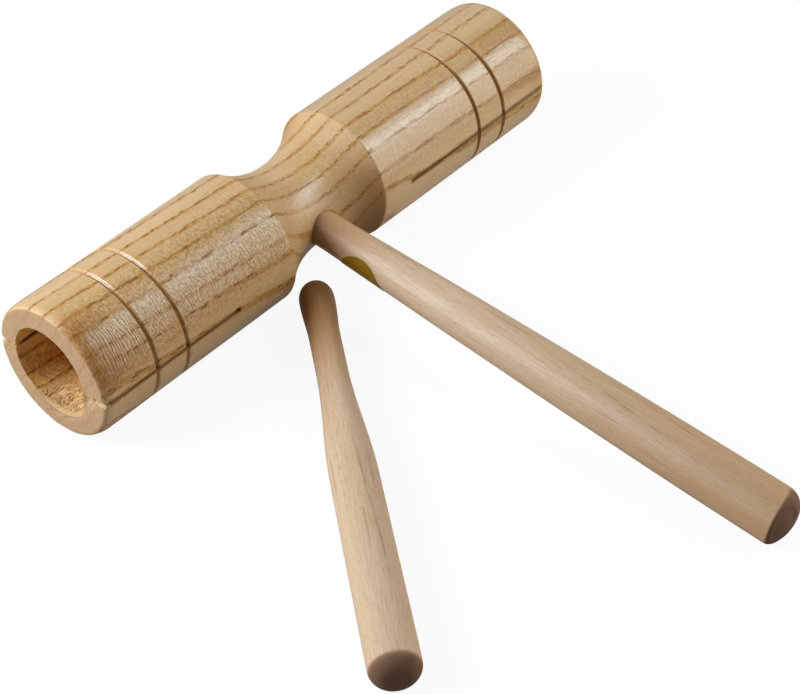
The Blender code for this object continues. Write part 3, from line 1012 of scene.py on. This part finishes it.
def ash_color(tree, place, grain, shade_and_wear):
    """The ash's colour: its wood, then painted shade on the front side, the near tip and the low slopes,
    painted light on the far chamber's low side, and stains of the ends, then its vessels, then what was cut,
    with painted shade in the grooves.

    Ramps over x and z run between places in millimetres from the block's middle.
    """
    x, _, z = split(tree, place)
    begun = product(tree, grain.early, ramp(tree, grain.fibres, 0.0, 0.8, 0.5, 1.0))
    clouds = use(tree, STREAKS, vector=place, length=60.0, width=9.0, seed=6.0)
    wood = tint(tree, begun, ASH_LATE, ASH_EARLY)
    wood = stain(tree, product(tree, clouds, 0.5), wood, ASH_CLOUD)
    wood = stain(tree, product(tree, grain.fibres, 0.5), wood, ASH_FIBRE)
    flecks = calc(tree, "SUBTRACT", ramp(tree, grain.rays, 0.35, 0.65), 0.5)
    wood = stain(tree, calc(tree, "MULTIPLY_ADD", flecks, grain.rayed, 0.5), wood, ASH_FLECK)

    # Painted shade: the low front side of the near chamber and of the far tip is darkened, as if less light
    # reached it
    painted_front_shade = calc(tree, "ADD", ramp(tree, x, -18.0, -24.0), ramp(tree, x, 76.0, 84.0))
    wood = stain(tree, product(tree, shade_and_wear.front, painted_front_shade), wood, ASH_FRONT_SHADE)
    # Near tip on the front side: partly worn wood, partly painted shade
    wood = stain(tree, shade_and_wear.tip, wood, ASH_TIP_WEAR_AND_SHADE)
    # Painted shade: the waist's slopes are darkened low down, most on the far slope, where little light
    # reaches
    low_slope_shade = product(tree, mask(tree, "slope"), ramp(tree, z, 20.0, 8.0),
                        ramp(tree, x, -8.0, 6.0, 0.6, 1.0))
    wood = stain(tree, low_slope_shade, wood, ASH_SLOPE_SHADE)
    # Painted light: the far chamber's low side is lightened and cooled, as if more light reached it from low
    # down
    painted_low_light = product(tree, ramp(tree, x, 16.0, 30.0), ramp(tree, x, 99.0, 90.0), ramp(tree, z, 11.0, 3.0))
    wood = stain(tree, painted_low_light, wood, ASH_LOW_LIGHT)
    end_grain = mask(tree, "end_grain")
    wood = tint(tree, product(tree, end_grain, 0.7), wood, ASH_END)
    spots = use(tree, MARKS, vector=place, length=0.8, width=4.0, seed=14.0)
    wood = stain(tree, product(tree, ramp(tree, spots, 0.35, 0.65), end_grain), wood, ASH_SPOT)
    wood = stain(tree, mask(tree, "raw"), wood, ASH_RAW)

    wood = tint(tree, product(tree, grain.row, grain.side_grain, 0.45), wood, ASH_ROW)
    wood = tint(tree, grain.pores, wood, ASH_PORE)
    # Grooves: partly burnished wood, partly painted shade in the recess, stronger on the far chamber
    wood = tint(tree, product(tree, shade_and_wear.cut, ramp(tree, x, *NEAR_TO_FAR, 0.75, 0.97)), wood, ASH_GROOVE_BURN_AND_SHADE)
    wood = tint(tree, product(tree, mask(tree, "sawn"), 0.85), wood, ASH_SAWN)
    wood = tint(tree, product(tree, mask(tree, "torn"), 0.8), wood, ASH_TORN)
    return stain(tree, mask(tree, "lip"), wood, ASH_LIP)


def ash_roughness(tree, place, grain, shade_and_wear):
    """The ash's roughness: polished, and dull in pores and worn grooves, on bare wood and at the rims."""
    x, _, z = split(tree, place)
    rim = ramp(tree, calc(tree, "ABSOLUTE", x), HALF_LENGTH - 1.8, HALF_LENGTH - 0.8)
    worn = highest(tree, ramp(tree, x, *NEAR_TO_FAR), ramp(tree, z, 20.0, 15.0))
    dull = highest(tree, product(tree, grain.pores, grain.finish), product(tree, worn, shade_and_wear.cut), rim,
                   mask(tree, "raw"), mask(tree, "sawn"), mask(tree, "slope"), product(tree, shade_and_wear.tip, 0.1))
    return calc(tree, "MULTIPLY_ADD", dull, 0.4, ramp(tree, x, *WAIST_TO_FAR, 0.29, 0.24))


def ash_height(tree, place, grain):
    """The ash's relief in millimetres: drifting sine ripples of the lathe, rays, pores and fibres."""
    x = split(tree, place)[0]
    drift = use(tree, MARKS, vector=place, length=14.0, width=5.0, seed=7.0)
    turns = calc(tree, "MULTIPLY_ADD", drift, 5.0, calc(tree, "DIVIDE", x, LATHE_RIPPLE))
    ripple = calc(tree, "SINE", product(tree, turns, 2 * math.pi))
    chatter = ramp(tree, use(tree, STREAKS, vector=place, length=18.0, width=7.0, seed=12.0), 0.1, 0.7)
    chatter = highest(tree, product(tree, chatter, 0.5), ramp(tree, x, *NEAR_TIP))
    height = product(tree, ripple, chatter, RIPPLE_HEIGHT)
    ray_height = ramp(tree, x, *NEAR_TIP, RAY_HEIGHT, TIP_RAY_HEIGHT)
    height = product(tree, calc(tree, "MULTIPLY_ADD", grain.rays, ray_height, height), grain.rayed)
    height = calc(tree, "MULTIPLY_ADD", grain.pores, -PORE_DEPTH, height)
    return calc(tree, "MULTIPLY_ADD", grain.fibres, FIBRE_HEIGHT, height)


def ash_material():
    """Ash with its grain along the block."""
    material, tree, shader = new_material("ash")
    place = grain_place(tree, BLOCK_MIDDLE, np.eye(3))
    grain = ash_grain(tree, place)
    shade_and_wear = ash_shade_and_wear(tree, place, grain.side_grain)
    tree.links.new(ash_color(tree, place, grain, shade_and_wear), shader.inputs["Base Color"])
    tree.links.new(ash_roughness(tree, place, grain, shade_and_wear), shader.inputs["Roughness"])
    shader.inputs["Specular IOR Level"].default_value = ASH_GLOSS
    bump(tree, shader, ash_height(tree, place, grain), 1.0)
    return material


# Birch: pale and even, with short brown flecks and a few longer mineral lines
BIRCH_PALE = (0.615, 0.442, 0.298)
BIRCH_WARM = (0.545, 0.355, 0.212)
BIRCH_STREAK = (0.86, 0.81, 0.74)
BIRCH_FLECK = (0.36, 0.20, 0.10)
BIRCH_LINE = (0.28, 0.15, 0.07)
BIRCH_BURNT = (0.27, 0.14, 0.065)
BIRCH_END = (0.158, 0.080, 0.044)
BIRCH_GLOSS = 0.4
BIRCH_FLECK_DEPTH = 0.03
BIRCH_RIPPLE_HEIGHT = 0.03
BIRCH_GRAIN_HEIGHT = 0.05
# Handle: from 60 mm to the butt, darker warmer wood together with painted shade where the light falls off;
# from 46 mm to the root, painted shade where it meets the block
HANDLE_TONE_AND_SHADE = ((60.0, 190.0, (0.83, 0.73, 0.60)), (46.0, 16.0, (0.92, 0.74, 0.56)))
# Beater: painted shade with a warm bounce towards the head, which lies by the block
BEATER_HEAD_SHADE = ((58.0, 14.0, (0.86, 0.61, 0.37)),)
HANDLE_LINE = (94.0, 170.0, -0.4, -4.8)
BEATER_LINE = (70.0, 138.0, 1.3, 3.3)
LINE_FADE = 8


def mineral_line(tree, place, line):
    """A broken line on a stick's upper side, from one place along it to another, as it drifts sideways."""
    start, end, first, last = line
    along, side, up = split(tree, place)
    away = calc(tree, "ABSOLUTE", calc(tree, "SUBTRACT", side, ramp(tree, along, start, end, first, last)))
    dashes = use(tree, STREAKS, vector=place, length=9.0, width=1.0, seed=31.0)
    return product(tree, ramp(tree, away, 0.55, 0.1), ramp(tree, up, 0.0, 1.0), ramp(tree, dashes, 0.3, 0.7),
                   ramp(tree, along, start, start + LINE_FADE), ramp(tree, along, end, end - LINE_FADE))


def birch_material(name, origin, axes, seed, tone_and_shade, line):
    """Birch with its grain along a stick, darkened over given stretches, each by a given shade, partly
    darker wood and partly painted shade.
    """
    material, tree, shader = new_material(name)
    place = grain_place(tree, origin, axes)
    along = split(tree, place)[0]
    clouds = use(tree, STREAKS, vector=place, length=45.0, width=4.0, seed=seed)
    fibres = use(tree, STREAKS, vector=place, length=16.0, width=0.5, seed=seed + 1)
    flecks = use(tree, VESSELS, vector=place, length=2.6, width=0.32, share=0.3, seed=seed + 2)
    lines = use(tree, VESSELS, vector=place, length=22.0, width=1.0, share=0.025, seed=seed + 3)
    lines = highest(tree, product(tree, lines, 0.7), mineral_line(tree, place, line))
    ripple = use(tree, MARKS, vector=place, length=5.0, width=0.7, seed=seed + 4)
    grain = use(tree, STREAKS, vector=place, length=4.0, width=0.3, seed=seed + 5)
    wood = tint(tree, product(tree, clouds, 0.55), BIRCH_PALE, BIRCH_WARM)
    wood = stain(tree, product(tree, fibres, 0.8), wood, BIRCH_STREAK)
    wood = stain(tree, product(tree, grain, 0.7), wood, BIRCH_STREAK)
    # Darkening along the stick: painted shade, with darker wood in it on the handle
    for start, end, shade in tone_and_shade:
        wood = stain(tree, ramp(tree, along, start, end), wood, shade)
    wood = tint(tree, product(tree, flecks, 0.35), wood, BIRCH_FLECK)
    wood = tint(tree, product(tree, lines, 0.55), wood, BIRCH_LINE)
    end_grain = mask(tree, "end_grain")
    wood = tint(tree, ramp(tree, end_grain, 0.0, 0.5), wood, BIRCH_BURNT)
    wood = tint(tree, ramp(tree, end_grain, 0.3, 1.0), wood, BIRCH_END)
    tree.links.new(wood, shader.inputs["Base Color"])
    rough = calc(tree, "MULTIPLY_ADD", fibres, 0.08, ramp(tree, end_grain, 0.0, 0.5, 0.43, 0.85))
    tree.links.new(rough, shader.inputs["Roughness"])
    shader.inputs["Specular IOR Level"].default_value = BIRCH_GLOSS
    height = product(tree, ripple, BIRCH_RIPPLE_HEIGHT)
    height = calc(tree, "MULTIPLY_ADD", flecks, -BIRCH_FLECK_DEPTH, height)
    bump(tree, shader, calc(tree, "MULTIPLY_ADD", grain, BIRCH_GRAIN_HEIGHT, height), 0.6)
    return material


# Gold paper of the blank label
LABEL_GOLD = (0.24, 0.112, 0.002)
LABEL_WORN = (0.18, 0.10, 0.003)
LABEL_GLOSS = 0.25


def label_material():
    """Gold paper with faint fibres, a little glossy."""
    material, tree, shader = new_material("label_paper")
    place = grain_place(tree, *handle_frame())
    mottle = use(tree, STREAKS, vector=place, length=3.0, width=2.0, seed=40.0)
    tree.links.new(tint(tree, mottle, LABEL_GOLD, LABEL_WORN), shader.inputs["Base Color"])
    tree.links.new(calc(tree, "MULTIPLY_ADD", mottle, 0.1, 0.35), shader.inputs["Roughness"])
    shader.inputs["Specular IOR Level"].default_value = LABEL_GLOSS
    bump(tree, shader, mottle, 0.05)
    return material


# Floor, world, lamps and camera

def seen_and_mirrored(tree):
    """Two masks: 1 for rays from the camera, and 1 for rays from a gloss or a glass."""
    path = add(tree, "LightPath").outputs
    return path["Is Camera Ray"], calc(tree, "MAXIMUM", path["Is Glossy Ray"], path["Is Transmission Ray"])


FLOOR_REACH = 4000
FLOOR_DROP = 0.05
FLOOR_LINES = 9
FLOOR_BOUNCE = (0.44, 0.40, 0.35)
FLOOR_PALE = (0.95, 0.95, 0.95)
FLOOR_GLOW = 0.92
FLOOR_SHEEN = 0.15
SKY_LIGHT = (0.04, 0.04, 0.04)
ROOM_SHEEN = (0.15, 0.15, 0.15)

# Lamps: azimuth, elevation, distance, size, power and colour
LAMPS = {"window": (146, 33, 700, 390, 7.6, (0.915, 1.0, 1.11)),
         "near_side": (309, 49, 900, 185, 1.5, (0.84, 1.0, 1.09)),
         "far_side": (322, 36, 900, 185, 1.38, (0.84, 1.0, 1.09)),
         "low": (318, 8, 900, 800, 6.5, (1.06, 1.0, 0.92)),
         "rear": (30, 38, 700, 300, 0.35, (1.0, 1.0, 1.0))}


def make_floor():
    """A wide level floor: white to the camera, with the object's shadow kept in its diffuse share."""
    line = np.linspace(-FLOOR_REACH, FLOOR_REACH, FLOOR_LINES)
    x, y = np.meshgrid(line, line)
    points = np.stack([x, y, np.full_like(x, -FLOOR_DROP)], -1)
    mesh = bpy.data.meshes.new("floor")
    quads = grid_quads(FLOOR_LINES, FLOOR_LINES)
    mesh.from_pydata((points.reshape(-1, 3) * MM).tolist(), [], quads.tolist())
    material, tree, shader = new_material("floor_paper")
    tree.nodes.remove(shader)
    seen, mirrored = seen_and_mirrored(tree)
    matt = add(tree, "BsdfDiffuse", {"Color": tint(tree, seen, FLOOR_BOUNCE, FLOOR_PALE)}).outputs[0]
    white = add(tree, "Emission", {"Color": (1, 1, 1, 1), "Strength": 1.0}).outputs[0]
    share = calc(tree, "MULTIPLY_ADD", seen, FLOOR_GLOW, product(tree, mirrored, FLOOR_SHEEN))
    mixed = add(tree, "MixShader", {0: share, 1: matt, 2: white}).outputs[0]
    tree.links.new(mixed, tree.nodes["Material Output"].inputs["Surface"])
    mesh.materials.append(material)
    floor = bpy.data.objects.new("floor", mesh)
    bpy.context.scene.collection.objects.link(floor)


def make_world():
    """A white backdrop to the camera; a gloss sees it behind the object, and a dimmer room in front."""
    world = bpy.data.worlds.new("studio")
    world.use_nodes = True
    bpy.context.scene.world = world
    tree = world.node_tree
    seen, mirrored = seen_and_mirrored(tree)
    behind, up = split(tree, add(tree, "TexCoord").outputs["Generated"])[1:]
    backdrop = product(tree, ramp(tree, behind, 0.0, 0.6), ramp(tree, up, 0.6, 0.2))
    room = tint(tree, backdrop, ROOM_SHEEN, (1, 1, 1))
    sky = tint(tree, seen, tint(tree, mirrored, SKY_LIGHT, room), (1, 1, 1))
    tree.links.new(sky, tree.nodes["Background"].inputs["Color"])


def make_lamp(name, azimuth, elevation, distance, size, power, color):
    """A square soft lamp turned to the block: angles in degrees, distance and size in millimetres."""
    turn, rise = math.radians(azimuth), math.radians(elevation)
    away = Vector((math.cos(rise) * math.cos(turn), math.cos(rise) * math.sin(turn), math.sin(rise)))
    data = bpy.data.lights.new(name, "AREA")
    data.size = size * MM
    data.energy = power
    data.color = color
    lamp = bpy.data.objects.new(name, data)
    lamp.location = (Vector(BLOCK_MIDDLE) + away * distance) * MM
    lamp.rotation_euler = away.to_track_quat("Z", "Y").to_euler()
    lamp.visible_camera = False
    bpy.context.scene.collection.objects.link(lamp)


def make_camera():
    """The camera at the photograph's viewing angle: rolled, then tilted down, then turned to the block."""
    data = bpy.data.cameras.new("camera")
    data.sensor_width = CAMERA_SENSOR
    data.lens = CAMERA_LENS
    camera = bpy.data.objects.new("camera", data)
    heading = Matrix.Rotation(-CAMERA_AZIMUTH, 4, "Z")
    tilt = Matrix.Rotation(math.pi / 2 - CAMERA_ELEVATION, 4, "X")
    turn = heading @ tilt @ Matrix.Rotation(CAMERA_ROLL, 4, "Z")
    place = (Vector(CAMERA_PLACE) + Vector((BLOCK_MIDDLE[0], BLOCK_MIDDLE[1], 0))) * MM
    camera.matrix_world = Matrix.Translation(place) @ turn
    bpy.context.scene.collection.objects.link(camera)
    bpy.context.scene.camera = camera


make_camera()
ash = ash_material()
make_block(ash)
make_torn_fibres(ash)
make_handle(birch_material("birch_handle", *handle_frame(), 10.0, HANDLE_TONE_AND_SHADE, HANDLE_LINE))
make_beater(birch_material("birch_beater", *beater_frame(), 20.0, BEATER_HEAD_SHADE, BEATER_LINE))
make_label(label_material())
make_floor()
make_world()
for lamp_name, lamp in LAMPS.items():
    make_lamp(lamp_name, *lamp)
bpy.context.scene.view_settings.view_transform = "Standard"
